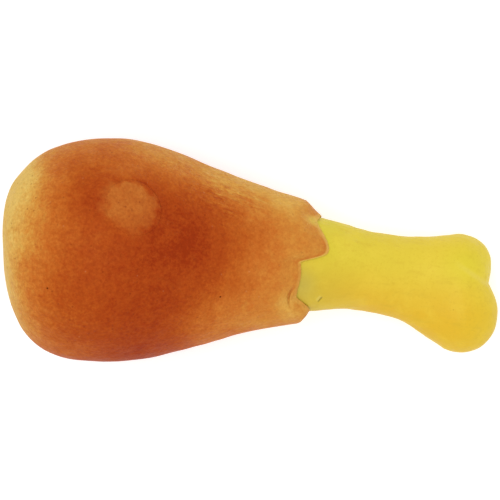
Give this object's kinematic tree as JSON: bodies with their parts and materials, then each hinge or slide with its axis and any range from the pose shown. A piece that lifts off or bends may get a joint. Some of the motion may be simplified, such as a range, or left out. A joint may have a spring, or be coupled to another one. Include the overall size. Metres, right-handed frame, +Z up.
{
  "type": "squeaky latex drumstick prop",
  "caption": "Soft latex chicken drumstick prop with a stuffed meat, a torn cuff over a yellow two-knuckled bone, and a bellows squeaker under a round filling plug.",
  "frame": {"origin": "centre of the bounding box at the floor, under the middle of the prop's length", "axes": "+X runs from the blunt meat end to the knuckles, +Z is up off the surface that the prop lies on, and +Y points to the side of the filling plug"},
  "size_m": [0.19, 0.0848, 0.0834],
  "materials": {
    "meat_latex": "satin",
    "bone_latex": "satin",
    "plug_latex": "satin",
    "fibre_fill": "matte",
    "squeaker_plastic": "satin",
    "bellows_plastic": "satin",
    "reed_plastic": "satin",
    "reed_film": "gloss"
  },
  "bodies": {
    "meat": {"meat_skin": "meat_latex", "meat_stuffing": "fibre_fill", "squeaker_bellows": "bellows_plastic", "squeaker_base": "squeaker_plastic", "reed_tube": "reed_plastic", "reed_block": "reed_plastic", "reed_wedge": "reed_plastic"},
    "squeak_button": {"fill_plug": "plug_latex", "squeaker_cap": "squeaker_plastic"},
    "neck": {"neck_stuffing": "fibre_fill"},
    "bone": {"bone_skin": "bone_latex", "bone_stuffing": "fibre_fill"},
    "reed": {"reed_tongue": "reed_film"}
  },
  "joints": [
    {"name": "squeak_press", "type": "slide", "parent": "meat", "child": "squeak_button", "axis": [-0.3187, -0.3747, -0.8706], "range_m": [0, 0.004], "stiffness_N_per_m": 1500, "deforming": ["squeaker_bellows", "fill_plug"]},
    {"name": "neck_bend", "type": "hinge", "parent": "meat", "child": "neck", "pos_m": [-0.005, 0.0026, 0.0334], "axis": [0, -1, 0], "range_deg": [0, 30], "stiffness_Nm_per_rad": 1.2, "deforming": ["meat_skin", "meat_stuffing", "neck_stuffing"]},
    {"name": "bone_sway", "type": "hinge", "parent": "neck", "child": "bone", "pos_m": [0.042, 0.0032, 0.0254], "axis": [0, 0, 1], "range_deg": [-38, 38], "stiffness_Nm_per_rad": 0.6, "deforming": ["bone_skin", "bone_stuffing"]},
    {"name": "reed_flex", "type": "hinge", "parent": "meat", "child": "reed", "pos_m": [-0.05602, 0.00597, 0.05069], "axis": [-0.7617, 0.6479, 0], "range_deg": [0, 4], "stiffness_Nm_per_rad": 0.001, "deforming": ["reed_tongue"]}
  ]
}
